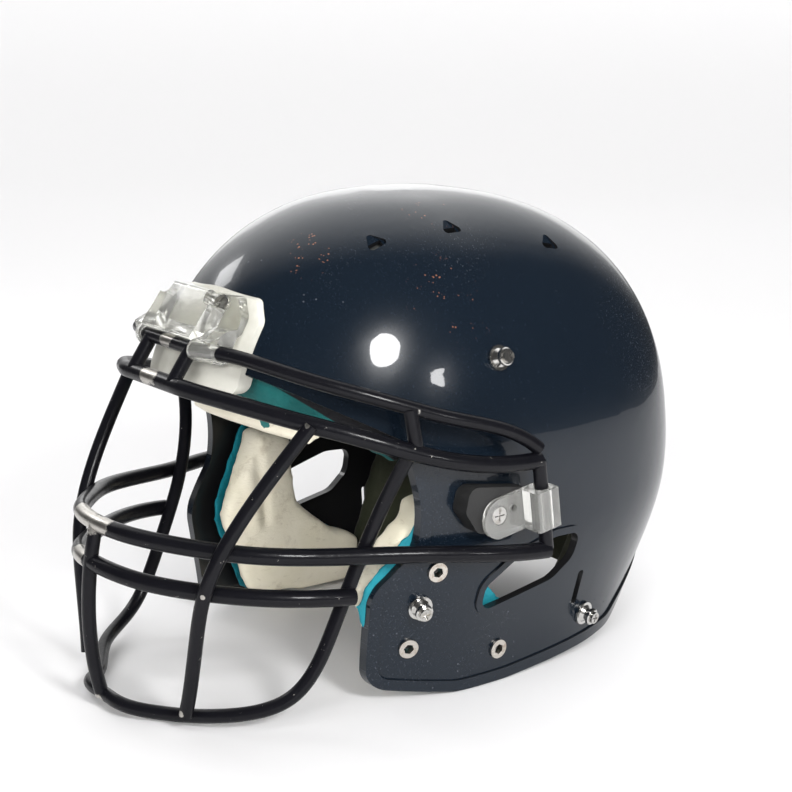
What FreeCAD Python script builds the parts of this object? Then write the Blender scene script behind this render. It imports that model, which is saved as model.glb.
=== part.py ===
import FreeCAD, Part

import math
import os

from FreeCAD import Placement, Rotation, Vector

# American football helmet with a wire face mask.
# Millimetres, +Z up, the wearer looks along -Y and the wearer's left is +X.
# The model is laid out about the head, and every sub-part's Placement then moves
# it by frame_shift along Y, so that the origin is under the middle of the helmet.

document = FreeCAD.newDocument("FootballHelmet")
sheet = document.addObject("Spreadsheet::Sheet", "Dims")

DIMENSIONS = [
    # name, value, meaning
    ("frame_shift", 21.7, "move along Y that puts the origin under the middle"),
    # shell
    ("middle_y", -10.0, "Y where the shell is widest"),
    ("widest_z", 97.0, "height where the shell is widest"),
    ("half_width", 107.8, "half the width there"),
    ("front_reach", 144.0, "from middle_y to the brow"),
    ("rear_reach", 171.5, "from middle_y to the back"),
    ("crown_height", 159.5, "from widest_z to the crown"),
    ("flap_half_width", 97.5, "half the width at the bottom of the ear flaps"),
    ("front_power", 2.1, "roundness of the front half in plan"),
    ("rear_power", 3.0, "roundness of the rear half in plan"),
    ("crown_power", 2.38, "roundness of the dome"),
    ("shell_wall", 4.0, "shell thickness"),
    ("bead_rise", 1.1, "how proud the rim bead stands"),
    ("bead_width", 6.0, "width of the rim bead"),
    # face mask
    ("thin_wire", 7.3, "diameter of the thin mask wires"),
    ("thick_wire", 8.8, "diameter of the thick mask wires"),
    # chin strap snaps
    ("washer_radius", 6.6, "snap washer"),
    ("washer_height", 1.4, "snap washer"),
    ("stud_base_radius", 5.0, "snap stud, at the washer"),
    ("stud_neck_radius", 3.5, "snap stud, neck"),
    ("stud_head_radius", 4.7, "snap stud, head"),
    ("stud_height", 6.0, "snap stud"),
    ("snap_bore_radius", 2.1, "bore for the snap screw"),
    ("snap_screw_radius", 2.0, "snap screw shank"),
    ("snap_screw_head", 3.3, "snap screw head radius"),
    ("snap_screw_rise", 1.5, "snap screw head height"),
    # jaw pad sockets
    ("socket_flange_radius", 5.3, "jaw pad socket, flange"),
    ("socket_flange_height", 1.3, "jaw pad socket, flange"),
    ("socket_barrel_radius", 4.0, "jaw pad socket, barrel"),
    ("socket_hex", 5.0, "jaw pad socket, hexagon across flats"),
    ("hole_play", 0.15, "gap all round a part in its hole"),
    ("spacer_play", 0.6, "radial play round a screw in its rubber spacer"),
    # side clips
    ("spacer_outer_x", 115.2, "outer face of the spacer under a side clip"),
    ("spacer_root_x", 95.0, "inner limit of the spacer's blank, inside the shell"),
    ("strap_wall", 1.25, "thickness of one leg of a side clip"),
    ("strap_height", 21.5, "width of a side clip's strap"),
    ("clip_screw_radius", 2.4, "side clip screw shank"),
    ("clip_screw_head", 4.6, "side clip screw head radius"),
    ("clip_screw_rise", 1.0, "side clip screw head height"),
    ("clip_screw_sink", 1.3, "how far a side clip screw's head is let into its strap"),
    ("brow_screw_rise", 2.0, "front clip screw head height"),
    ("nut_radius", 4.6, "round nut inside the shell"),
    ("nut_height", 1.5, "round nut inside the shell"),
    # padding
    ("liner_gap", 0.4, "gap between the shell and its padding"),
    ("liner_thick", 15.0, "air liner thickness"),
    ("jaw_base_thick", 6.0, "jaw pad backing thickness"),
    ("jaw_inner_x", 71.0, "inner face of the jaw pads"),
    ("jaw_reach_x", 112.0, "outer limit of the jaw pads, past the shell's inside"),
    ("brow_pad_thick", 18.0, "brow pad thickness"),
]


def fill_sheet():
    for row, (name, value, meaning) in enumerate(DIMENSIONS, start=1):
        sheet.set("A%d" % row, meaning)
        sheet.set("B%d" % row, str(value))
        sheet.setAlias("B%d" % row, name)
    document.recompute()


fill_sheet()


def size(name):
    return float(sheet.get(name))


MIDDLE_Y = size("middle_y")
WIDEST_Z = size("widest_z")
HALF_WIDTH = size("half_width")
WALL = size("shell_wall")
LINER_INSET = WALL + size("liner_gap")

sub_parts = []


def finish_part(item, label):
    """Name a sub-part and move it into the helmet's frame."""
    item.Label = label
    item.setExpression(".Placement.Base.y", "Dims.frame_shift")
    sub_parts.append(item)
    return item


def free_part(label, shape):
    """A sub-part whose freeform shape no feature or primitive gives."""
    item = document.addObject("Part::Feature", label)
    item.Shape = shape
    return finish_part(item, label)


# ---------------------------------------------------------------- shell surface


def smooth_step(value):
    value = min(max(value, 0.0), 1.0)
    return value * value * (3.0 - 2.0 * value)


def section_reach(z, inset):
    """Side, front and rear reach of the level section at z, taken in by inset."""
    side = HALF_WIDTH
    front = size("front_reach")
    rear = size("rear_reach")
    if z >= WIDEST_Z:
        power = size("crown_power")
        rise = (z - WIDEST_Z) / (size("crown_height") - inset)
        scale = max(1.0 - rise**power, 0.0) ** (1.0 / power)
        return (side - inset) * scale, (front - inset) * scale, (rear - inset) * scale
    flap = size("flap_half_width")
    drop = (WIDEST_Z - z) / 100.0
    side = flap + (side - flap) * smooth_step((z - 12.0) / 74.0)
    front = front * (1.0 - 0.125 * drop**2)
    rear = rear * (1.0 - 0.25 * drop**1.5)
    return side - inset, front - inset, rear - inset


def surface_x(y, z, inset=0.0):
    """Half width of the shell's surface at a height and a place along it."""
    side, front, rear = section_reach(z, inset)
    along = y - MIDDLE_Y
    reach, power = (rear, size("rear_power")) if along > 0 else (front, size("front_power"))
    return side * (1.0 - (abs(along) / reach) ** power) ** (1.0 / power)


def surface_normal(y, z):
    """Outward direction of the shell's left side at (y, z)."""
    step = 0.5
    slope_y = (surface_x(y + step, z) - surface_x(y - step, z)) / (2.0 * step)
    slope_z = (surface_x(y, z + step) - surface_x(y, z - step)) / (2.0 * step)
    normal = Vector(1.0, -slope_y, -slope_z)
    return normal.normalize()


def quarter_points(side, reach, power, count):
    """Unit points of a quarter of the plan curve, evenly spaced along it."""
    steps = 400
    fine = []
    for index in range(steps + 1):
        angle = 0.5 * math.pi * index / steps
        fine.append((math.cos(angle) ** (2.0 / power), math.sin(angle) ** (2.0 / power)))
    run = [0.0]
    for (x0, y0), (x1, y1) in zip(fine, fine[1:]):
        run.append(run[-1] + math.hypot((x1 - x0) * side, (y1 - y0) * reach))
    chosen = []
    for index in range(count):
        wanted = run[-1] * index / count
        place = next(i for i, length in enumerate(run) if length >= wanted - 1e-9)
        chosen.append(fine[place])
    return chosen, fine[-1]


FRONT_COUNT = 10
REAR_COUNT = 11


def plan_points():
    """Unit points round the whole plan curve, starting and ending at the back."""
    rear, _ = quarter_points(HALF_WIDTH, size("rear_reach"), size("rear_power"), REAR_COUNT)
    front, _ = quarter_points(HALF_WIDTH, size("front_reach"), size("front_power"), FRONT_COUNT)
    half = [(-x, y) for x, y in reversed(rear[1:])]
    half += [(-x, -y) for x, y in front]
    opposite = [(-x, y) for x, y in reversed(half)]
    return [(0.0, 1.0)] + half + [(0.0, -1.0)] + opposite


PLAN = plan_points()
DOME_STEPS = 13


def row_heights(inset, lowest):
    """Heights of the surface's rows, closer together towards the crown."""
    low = [lowest + (WIDEST_Z - lowest) * i / 7.0 for i in range(7)]
    power = size("crown_power")
    rise = size("crown_height") - inset
    dome = []
    for index in range(DOME_STEPS):
        angle = 0.5 * math.pi * index / DOME_STEPS
        dome.append(WIDEST_Z + rise * math.sin(angle) ** (2.0 / power))
    return low + dome


def helmet_solid(inset, lowest=-12.0, hold=None):
    """The shell's outer form taken in by inset, closed flat at its lowest level.

    Below the level hold, the sections keep the size that they have there."""
    heights = row_heights(inset, lowest)
    top = Vector(0.0, MIDDLE_Y, WIDEST_Z + size("crown_height") - inset)
    rows = []
    for z in heights:
        side, front, rear = section_reach(max(z, hold) if hold else z, inset)
        row = []
        for x, y in PLAN:
            row.append(Vector(x * side, MIDDLE_Y + y * (rear if y > 0 else front), z))
        rows.append(row)
    count = len(PLAN)
    u_places = [i / count for i in range(count + 1)]
    pole_rows = []
    for row in rows:
        curve = Part.BSplineCurve()
        curve.interpolate(Points=row, PeriodicFlag=True, Parameters=u_places)
        pole_rows.append(curve.getPoles())
    u_knots = curve.getKnots()
    u_mults = curve.getMultiplicities()
    pole_rows.append([top] * len(pole_rows[0]))
    v_places = [0.0]
    profile = [row[0] for row in rows] + [top]
    for start, end in zip(profile, profile[1:]):
        v_places.append(v_places[-1] + start.distanceToPoint(end))
    columns = []
    flags = [False] * (len(pole_rows) - 1) + [True]
    for index in range(len(pole_rows[0])):
        column = [row[index] for row in pole_rows]
        last = column[-1] - column[-2]
        level = Vector(last.x, last.y, 0.0)
        level.multiply(1.0 / (v_places[-1] - v_places[-2]))
        tangents = [level] * len(column)
        curve = Part.BSplineCurve()
        curve.interpolate(Points=column, Parameters=v_places, Tangents=tangents, TangentFlags=flags)
        columns.append(curve.getPoles())
    skin = Part.BSplineSurface()
    skin.buildFromPolesMultsKnots(
        columns,
        u_mults,
        curve.getMultiplicities(),
        u_knots,
        curve.getKnots(),
        True,
        False,
        3,
        3,
    )
    side_face = skin.toShape()
    bottom = Part.Face(Part.Wire(skin.vIso(0.0).toShape()))
    closed = Part.makeShell([side_face, bottom])
    closed.sewShape()
    solid = Part.makeSolid(closed)
    if solid.Volume < 0:
        solid.reverse()
    return solid


# ---------------------------------------------------------------- outlines


def rounded_segments(corners):
    """Arcs and lines of a flat outline with rounded corners (p, q, radius)."""
    arcs = []
    count = len(corners)
    for index, (p, q, radius) in enumerate(corners):
        before = corners[index - 1]
        after = corners[(index + 1) % count]
        corner = Vector(p, q, 0.0)
        towards = (Vector(before[0], before[1], 0.0) - corner).normalize()
        onwards = (Vector(after[0], after[1], 0.0) - corner).normalize()
        half = 0.5 * towards.getAngle(onwards)
        back_off = radius / math.tan(half)
        start = corner + towards * back_off
        end = corner + onwards * back_off
        middle = corner + (towards + onwards).normalize() * (radius / math.sin(half) - radius)
        arcs.append((start, middle, end))
    segments = []
    for index, (start, middle, end) in enumerate(arcs):
        following = arcs[(index + 1) % count][0]
        segments.append(Part.Arc(start, middle, end))
        if end.distanceToPoint(following) > 1e-6:
            segments.append(Part.LineSegment(end, following))
    return segments


SIDE_VIEW = Rotation(Vector(1.0, 1.0, 1.0), 120.0)  # flat (p, q) becomes (Y, Z)
FRONT_VIEW = Rotation(Vector(1.0, 0.0, 0.0), 90.0)  # flat (p, q) becomes (X, Z)
TOP_VIEW = Rotation()  # flat (p, q) stays (X, Y)


def outline_wire(corners, view, origin):
    wire = Part.Wire([segment.toShape() for segment in rounded_segments(corners)])
    wire.Placement = Placement(Vector(*origin), view)
    return wire


def side_prism(corners, from_x, to_x):
    """A side-view outline (Y, Z, radius) made solid between two X planes."""
    face = Part.Face(outline_wire(corners, SIDE_VIEW, (from_x, 0.0, 0.0)))
    return face.extrude(Vector(to_x - from_x, 0.0, 0.0))


def front_prism(corners, from_y, to_y):
    """A front-view outline (X, Z, radius) made solid between two Y planes."""
    face = Part.Face(outline_wire(corners, FRONT_VIEW, (0.0, from_y, 0.0)))
    return face.extrude(Vector(0.0, to_y - from_y, 0.0))


def box_between(low, high):
    return Part.makeBox(high[0] - low[0], high[1] - low[1], high[2] - low[2], Vector(*low))


def on_side(y, z, rise=0.0, side=1.0):
    """A placement on the shell at (y, z): its Z axis points out of the surface."""
    normal = surface_normal(y, z)
    spot = Vector(surface_x(y, z), y, z) + normal * rise
    normal.x *= side
    spot.x *= side
    return Placement(spot, Rotation(Vector(0.0, 0.0, 1.0), normal))


def seat_rise(y, z, radius):
    """How far a flat disc must stand off the surface so that its rim clears it."""
    normal = surface_normal(y, z)
    spot = Vector(surface_x(y, z), y, z)
    highest = 0.0
    for index in range(16):
        angle = 2.0 * math.pi * index / 16.0
        rim_y = y + radius * math.cos(angle)
        rim_z = z + radius * math.sin(angle)
        rim = Vector(surface_x(rim_y, rim_z), rim_y, rim_z)
        highest = max(highest, (rim - spot).dot(normal))
    return highest + 0.08


def bore(place, radius, below, above):
    """A cylinder along the placement's Z axis, for cutting holes."""
    cylinder = Part.makeCylinder(radius, below + above, Vector(0.0, 0.0, -below))
    cylinder.Placement = place
    return cylinder


# ---------------------------------------------------------------- where things are

WIDE = 130.0  # well outside the helmet's sides

# The shell seen from the side: brow line, cheek, ear flap, bottom and nape.
SHELL_OUTLINE = [
    (-200.0, 211.6, 1.0),
    (-74.5, 142.8, 9.0),
    (-66.3, 105.0, 60.0),
    (-69.4, 87.0, 16.0),
    (-90.5, 63.5, 18.0),
    (-87.0, 9.0, 13.0),
    (-38.0, 0.0, 50.0),
    (-5.0, 0.0, 60.0),
    (60.0, 4.2, 60.0),
    (86.0, 6.5, 25.0),
    (210.0, 84.5, 1.0),
    (210.0, 300.0, 1.0),
    (-200.0, 300.0, 1.0),
]

EAR_WINDOW = [
    (-27.5, 43.8, 5.5),
    (-26.3, 58.5, 8.0),
    (-8.0, 70.5, 20.0),
    (20.0, 77.8, 20.0),
    (39.0, 76.8, 5.0),
    (35.5, 62.5, 12.0),
    (22.0, 52.5, 14.0),
]

REAR_SLOT = [
    (44.9, 51.2, 1.9),
    (49.3, 50.8, 1.9),
    (47.6, 30.8, 1.9),
    (43.3, 31.2, 1.9),
]

SNAP_SPOTS = [(-15.5, 178.2), (-64.1, 53.6), (55.6, 22.4)]
SOCKET_SPOTS = [(-57.0, 72.6), (-66.9, 29.9), (-10.8, 18.2)]
CLIP_SCREW = (-29.3, 101.2)
BROW_SCREW = (18.0, 203.0)
VENT_SPOTS = [(-60.4, 236.9), (-14.4, 241.7), (47.2, 230.1)]

BAR_Y = -150.0  # top bar of the mask where the front clip holds it
BAR_Z = 186.5


def brow_placement(side, rise=0.0):
    """On the brow at a front clip screw, Z axis out of the surface."""
    x, z = BROW_SCREW
    half, front, _ = section_reach(z, 0.0)
    power = size("front_power")
    y = MIDDLE_Y - front * (1.0 - (x / half) ** power) ** (1.0 / power)
    normal = surface_normal(y, z)
    spot = Vector(x, y, z) + normal * rise
    spot.x *= side
    normal.x *= side
    return Placement(spot, Rotation(Vector(0.0, 0.0, 1.0), normal))


# ---------------------------------------------------------------- shell


def grown_outline(wire, by):
    """A flat wire moved outwards (or inwards, negative) by a distance."""
    return Part.Face(wire).makeOffset2D(by)


def across(face):
    """A side-view face at X = -WIDE carried right through the helmet."""
    return face.extrude(Vector(2.0 * WIDE, 0.0, 0.0))


def side_wire(corners):
    return outline_wire(corners, SIDE_VIEW, (-WIDE, 0.0, 0.0))


def both_sides(shape):
    mirrored = shape.mirror(Vector(0.0, 0.0, 0.0), Vector(1.0, 0.0, 0.0))
    return [shape, mirrored]


BUMPER_HALF = 42.0


def raised_bands():
    """Side-view strips where the shell is thicker: its rim and the ear windows."""
    width = size("bead_width")
    rim = side_wire(SHELL_OUTLINE)
    rim_strip = across(grown_outline(rim, 3.0)).cut(across(grown_outline(rim, -width)))
    brow_gap = box_between((-BUMPER_HALF, -220.0, 140.0), (BUMPER_HALF, -60.0, 320.0))
    window = side_wire(EAR_WINDOW)
    window_strip = across(grown_outline(window, 4.0)).cut(across(Part.Face(window)))
    return [rim_strip.cut(brow_gap), window_strip]


def vent_cutter(y, z):
    """A wedge that sinks outboard into the dome and a slot at its deep end."""
    length = 15.0
    width = 11.0
    depth = 2.6
    place = on_side(y, z)
    outboard = place.inverse().Rotation.multVec(Vector(1.0, 0.0, 0.0))
    outboard.z = 0.0
    turn = math.degrees(math.atan2(outboard.y, outboard.x))
    corners = [
        (-width / 2, 0.0, 2.0),
        (width / 2, -length / 2, 2.2),
        (width / 2, length / 2, 2.2),
    ]
    wire = outline_wire(corners, TOP_VIEW, (0.0, 0.0, 0.0))
    wedge = Part.Face(wire).extrude(Vector(0.0, 0.0, 12.0))
    slope = math.degrees(math.atan2(depth, width))
    wedge.Placement = Placement(Vector(-width / 2, 0, 0), Rotation(Vector(0, 1, 0), slope)).multiply(
        Placement(Vector(width / 2, 0.0, 0.0), Rotation())
    )
    slot = Part.makeBox(3.4, 8.0, 20.0, Vector(width / 2 - 4.6, -4.0, -14.0))
    cutter = wedge.fuse(slot)
    spin = Placement(Vector(0.0, 0.0, 0.0), Rotation(Vector(0.0, 0.0, 1.0), turn))
    cutter.Placement = place.multiply(spin).multiply(cutter.Placement)
    return cutter


SCREW_HOLE_TURN = 50.0  # where the side screw holes' seams lie round their axes


def shell_shape():
    rim = Part.Face(side_wire(SHELL_OUTLINE))
    outer = helmet_solid(0.0)
    proud = helmet_solid(-size("bead_rise"))
    blank = outer
    for strip in raised_bands():
        blank = blank.fuse(proud.common(strip))
    blank = blank.common(across(rim))
    blank = blank.cut(helmet_solid(WALL, -16.0))
    cutters = [across(Part.Face(side_wire(EAR_WINDOW))), across(Part.Face(side_wire(REAR_SLOT)))]
    play = size("hole_play")
    for side in (1.0, -1.0):
        for y, z in SNAP_SPOTS:
            cutters.append(bore(on_side(y, z, 0.0, side), size("snap_bore_radius"), 8.0, 8.0))
        for y, z in SOCKET_SPOTS:
            radius = size("socket_barrel_radius") + play
            cutters.append(bore(on_side(y, z, 0.0, side), radius, 8.0, 8.0))
        y, z = CLIP_SCREW
        screw = Part.makeCylinder(size("clip_screw_radius") + play, 30.0)
        outward = Rotation(Vector(0.0, 0.0, 1.0), Vector(side, 0.0, 0.0))
        turned = Rotation(Vector(0.0, 0.0, 1.0), SCREW_HOLE_TURN)
        screw.Placement = Placement(Vector(side * 90.0, y, z), outward.multiply(turned))
        cutters.append(screw)
        cutters.append(bore(brow_placement(side), size("snap_bore_radius"), 8.0, 8.0))
    for y, z in VENT_SPOTS:
        cutters += both_sides(vent_cutter(y, z))
    return blank.cut(cutters).Solids[0]


free_part("shell", shell_shape())


# ---------------------------------------------------------------- padding


def between_insets(near, far, hold=None):
    """The space from one inset of the shell's form to a deeper one."""
    return helmet_solid(near, -14.0, hold).cut(helmet_solid(far, -18.0, hold))


LINER_SPACE = between_insets(LINER_INSET, LINER_INSET + size("liner_thick"))
LINER_TOP_Z = 214.0
SIDE_LINER_BOX = ((30.0, -57.0, 113.0), (WIDE, 46.0, LINER_TOP_Z - 1.0))
BACK_LINER_BOX = ((-WIDE, 47.0, 96.0), (WIDE, 200.0, LINER_TOP_Z - 1.0))


def mirrored_box(low, high):
    return (-high[0], low[1], low[2]), (-low[0], high[1], high[2])


crown_space = box_between((-WIDE, -200.0, LINER_TOP_Z), (WIDE, 200.0, 300.0))
free_part("crown_liner", LINER_SPACE.common(crown_space).Solids[0])
left_box = box_between(*SIDE_LINER_BOX)
free_part("side_liner_left", LINER_SPACE.common(left_box).Solids[0])
right_box = box_between(*mirrored_box(*SIDE_LINER_BOX))
free_part("side_liner_right", LINER_SPACE.common(right_box).Solids[0])
free_part("back_liner", LINER_SPACE.common(box_between(*BACK_LINER_BOX)).Solids[0])

# The nape pad hangs a little below the rear rim.
NAPE_PAD = [
    (28.5, 0.9, 3.0),
    (88.0, 1.4, 20.0),
    (200.0, 73.0, 1.0),
    (200.0, 94.0, 1.0),
    (62.0, 94.0, 12.0),
    (28.5, 22.0, 12.0),
]
NAPE_THICK = 17.0
nape_space = between_insets(LINER_INSET, LINER_INSET + NAPE_THICK)
nape_outline = side_prism(NAPE_PAD, -WIDE, WIDE)
free_part("nape_pad", nape_space.common(nape_outline).Solids[0])

# The brow padding: a thin backing against the shell and a cushion inside it. Both
# hang straight down below the brow line, and the clip's nuts sit outside them.
BROW_LEVEL = 177.0
BROW_INSET = 6.4
BROW_BACKING = 5.5
BROW_BACKING_OUTLINE = [
    (-170.0, 157.0, 1.0),
    (-124.0, 157.0, 12.0),
    (-90.0, 139.0, 10.0),
    (-62.0, 121.0, 4.0),
    (-62.0, 208.0, 4.0),
    (-170.0, 208.0, 1.0),
]
BROW_PAD_OUTLINE = [
    (-170.0, 146.0, 1.0),
    (-128.0, 143.5, 12.0),
    (-94.0, 131.0, 8.0),
    (-94.0, 200.0, 8.0),
    (-170.0, 200.0, 1.0),
]
backing_space = between_insets(BROW_INSET, BROW_INSET + BROW_BACKING, BROW_LEVEL)
backing_outline = side_prism(BROW_BACKING_OUTLINE, -91.0, 91.0)
free_part("front_liner", backing_space.common(backing_outline).Solids[0])
PAD_INSET = BROW_INSET + BROW_BACKING + size("liner_gap")
pad_space = between_insets(PAD_INSET, PAD_INSET + size("brow_pad_thick"), BROW_LEVEL)
pad_outline = side_prism(BROW_PAD_OUTLINE, -78.0, 78.0)
free_part("front_pad", pad_space.common(pad_outline).Solids[0])


# ---------------------------------------------------------------- brow bumper and clip

BUMPER_WALL = 2.7
BUMPER_GAP = 0.25
BUMPER_OUTLINE = [
    (-BUMPER_HALF, 164.0, 5.0),
    (BUMPER_HALF, 164.0, 5.0),
    (40.5, 199.0, 8.0),
    (33.0, 209.5, 6.0),
    (0.0, 212.5, 90.0),
    (-33.0, 209.5, 6.0),
    (-40.5, 199.0, 8.0),
]
BUMPER_LIP = 3.6  # how far the bumper reaches in under the brow


def bumper_shape():
    """A plate over the brow that also wraps under the shell's edge."""
    band = helmet_solid(-BUMPER_GAP - BUMPER_WALL).cut(helmet_solid(BUMPER_LIP, -16.0))
    band = band.common(front_prism(BUMPER_OUTLINE, -90.0, -200.0))
    rim = across(grown_outline(side_wire(SHELL_OUTLINE), BUMPER_GAP))
    body = band.cut(helmet_solid(-BUMPER_GAP).common(rim))
    holes = [bore(brow_placement(side), size("snap_bore_radius"), 8.0, 12.0) for side in (1, -1)]
    return max(body.cut(holes).Solids, key=lambda solid: solid.Volume)


free_part("nose_bumper", bumper_shape())

CLIP_GAP = 0.15
CLIP_SEAT = BUMPER_GAP + BUMPER_WALL + CLIP_GAP
FLANGE_WALL = 3.4
CLIP_HALF = 35.0
FLANGE_OUTLINE = [
    (-CLIP_HALF, 192.0, 2.0),
    (CLIP_HALF, 192.0, 2.0),
    (CLIP_HALF, 201.0, 8.0),
    (27.0, 210.5, 5.0),
    (-27.0, 210.5, 5.0),
    (-CLIP_HALF, 201.0, 8.0),
]
BLOCK_HALF = 23.6
# Side view of the thick middle block, from its foot over the bar to its back.
BLOCK_OUTLINE = [
    (-155.0, 191.2, 1.5),
    (-137.0, 215.0, 2.5),
    (-118.0, 200.8, 1.0),
    (-118.0, 191.2, 1.0),
]
WELL_RADIUS = 4.9
WELL_FLOOR = 3.0


def front_clip_shape():
    """A clear block and its flange over the bumper, with a well for each screw."""
    seat = helmet_solid(-CLIP_SEAT)
    flange = helmet_solid(-CLIP_SEAT - FLANGE_WALL).common(front_prism(FLANGE_OUTLINE, -90.0, -200.0))
    block = side_prism(BLOCK_OUTLINE, -BLOCK_HALF, BLOCK_HALF)
    body = flange.fuse(block).cut(seat)
    cutters = []
    for side in (1.0, -1.0):
        cutters.append(bore(brow_placement(side), size("snap_bore_radius"), 8.0, 30.0))
        cutters.append(bore(brow_placement(side, CLIP_SEAT + WELL_FLOOR), WELL_RADIUS, 0.0, 30.0))
    return max(body.cut(cutters).Solids, key=lambda solid: solid.Volume)


free_part("front_clip", front_clip_shape())


# ---------------------------------------------------------------- primitives


def primitive(kind, name, place=None, **expressions):
    """A Part primitive whose sizes are expressions on the spreadsheet."""
    item = document.addObject("Part::" + kind, name)
    for prop, expression in expressions.items():
        item.setExpression(prop, expression)
    if place is not None:
        item.Placement = place
    return item


def joined(name, items):
    item = document.addObject("Part::MultiFuse", name)
    item.Shapes = items
    return item


def cut_out(name, base, tool):
    item = document.addObject("Part::Cut", name)
    item.Base = base
    item.Tool = tool
    return item


def grouped(label, items):
    item = document.addObject("Part::Compound", label)
    item.Links = items
    return finish_part(item, label)


def mirror_image(source, label):
    """A right-hand sub-part from a left-hand form that isn't itself a sub-part."""
    item = document.addObject("Part::Mirroring", label)
    item.Source = source
    item.Normal = Vector(1.0, 0.0, 0.0)
    return finish_part(item, label)


def raised(place, distance):
    return place.multiply(Placement(Vector(0.0, 0.0, distance), Rotation()))


SIDES = [("left", 1.0), ("right", -1.0)]


def snap_places():
    """Where the chin strap snaps sit, each with its Z axis out of the shell."""
    places = []
    for side_name, side in SIDES:
        for number, (y, z) in enumerate(SNAP_SPOTS, start=1):
            rise = seat_rise(y, z, size("washer_radius"))
            places.append(("%s_%d" % (side_name, number), on_side(y, z, rise, side)))
    return places


def snap_washer(tag, place):
    disc = primitive(
        "Cylinder", "washer_disc_" + tag, place, Radius="Dims.washer_radius", Height="Dims.washer_height"
    )
    bore_item = primitive(
        "Cylinder", "washer_bore_" + tag, raised(place, -1.0), Radius="Dims.snap_bore_radius"
    )
    return cut_out("washer_" + tag, disc, bore_item)


def snap_stud(tag, place):
    """A post that flares from its neck to a head, bored for its screw."""
    foot_place = raised(place, size("washer_height"))
    foot = primitive(
        "Cone",
        "stud_foot_" + tag,
        foot_place,
        Radius1="Dims.stud_base_radius",
        Radius2="Dims.stud_neck_radius",
        Height="Dims.stud_height * 0.3",
    )
    neck = primitive(
        "Cylinder",
        "stud_neck_" + tag,
        foot_place,
        Radius="Dims.stud_neck_radius",
        Height="Dims.stud_height",
    )
    flare = primitive(
        "Cone",
        "stud_flare_" + tag,
        raised(foot_place, size("stud_height") * 0.5),
        Radius1="Dims.stud_neck_radius",
        Radius2="Dims.stud_head_radius",
        Height="Dims.stud_height * 0.15",
    )
    head = primitive(
        "Cylinder",
        "stud_head_" + tag,
        raised(foot_place, size("stud_height") * 0.65),
        Radius="Dims.stud_head_radius",
        Height="Dims.stud_height * 0.25",
    )
    crown = primitive(
        "Cone",
        "stud_crown_" + tag,
        raised(foot_place, size("stud_height") * 0.9),
        Radius1="Dims.stud_head_radius",
        Radius2="Dims.stud_head_radius * 0.86",
        Height="Dims.stud_height * 0.1",
    )
    body = joined("stud_body_" + tag, [foot, neck, flare, head, crown])
    bore_item = primitive(
        "Cylinder",
        "stud_bore_" + tag,
        raised(foot_place, -1.0),
        Radius="Dims.snap_bore_radius",
        Height="Dims.stud_height + 2",
    )
    return cut_out("stud_" + tag, body, bore_item)


CROSS_WIDTH = 0.8
CROSS_DEPTH = 0.7
OVERLAP = 0.2  # how far joined solids run into each other


def screw(tag, place, seat, depth, shank, head, rise):
    """A cross-slot pan screw whose head sits at seat, above place, and ends depth below it.

    shank, head and rise are the names of its radii and its head's height in the sheet."""
    head_item = primitive(
        "Cylinder",
        "screw_head_" + tag,
        raised(place, seat),
        Radius="Dims." + head,
        Height="Dims." + rise,
    )
    shank_item = primitive(
        "Cylinder", "screw_shank_" + tag, raised(place, -depth), Radius="Dims." + shank
    )
    shank_item.Height = seat + depth + OVERLAP
    body = joined("screw_body_" + tag, [head_item, shank_item])
    slots = []
    reach = 0.7 * size(head)
    for turn in (0.0, 90.0):
        slot = document.addObject("Part::Box", "screw_slot_%s_%d" % (tag, int(turn)))
        slot.Length = 2.0 * reach
        slot.Width = CROSS_WIDTH
        slot.Height = 2.0 * CROSS_DEPTH
        spin = Placement(Vector(), Rotation(Vector(0.0, 0.0, 1.0), turn))
        corner = Placement(Vector(-reach, -0.5 * CROSS_WIDTH, 0.0), Rotation())
        level = seat + size(rise) - CROSS_DEPTH
        slot.Placement = raised(place, level).multiply(spin).multiply(corner)
        slots.append(slot)
    return cut_out("screw_" + tag, body, joined("screw_cross_" + tag, slots))


def build_snaps():
    washers = []
    studs = []
    screws = []
    for tag, place in snap_places():
        washers.append(snap_washer(tag, place))
        studs.append(snap_stud(tag, place))
        seat = size("washer_height") + size("stud_height")
        screws.append(
            screw(
                "snap_" + tag,
                place,
                seat,
                WALL,
                "snap_screw_radius",
                "snap_screw_head",
                "snap_screw_rise",
            )
        )
    grouped("chin_snap_washers", washers)
    grouped("chin_snap_studs", studs)
    grouped("chin_snap_screws", screws)


build_snaps()


# ---------------------------------------------------------------- jaw pad sockets


def socket(tag, place):
    """A flanged bush through the shell with a hexagonal hole."""
    barrel = primitive(
        "Cylinder",
        "socket_barrel_" + tag,
        raised(place, -WALL),
        Radius="Dims.socket_barrel_radius",
        Height="Dims.shell_wall + Dims.socket_flange_height",
    )
    flange = primitive(
        "Cylinder",
        "socket_flange_" + tag,
        place,
        Radius="Dims.socket_flange_radius",
        Height="Dims.socket_flange_height",
    )
    hexagon = primitive(
        "Prism",
        "socket_hexagon_" + tag,
        raised(place, -WALL - 1.0),
        Circumradius="Dims.socket_hex / 2 / cos(30 deg)",
        Height="Dims.shell_wall + Dims.socket_flange_height + 2",
    )
    hexagon.Polygon = 6
    return cut_out("socket_" + tag, joined("socket_body_" + tag, [barrel, flange]), hexagon)


def build_sockets():
    sockets = []
    for side_name, side in SIDES:
        for number, (y, z) in enumerate(SOCKET_SPOTS, start=1):
            rise = seat_rise(y, z, size("socket_flange_radius"))
            place = on_side(y, z, rise, side)
            sockets.append(socket("%s_%d" % (side_name, number), place))
    grouped("jaw_pad_sockets", sockets)


build_sockets()


# ---------------------------------------------------------------- side clips

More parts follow.
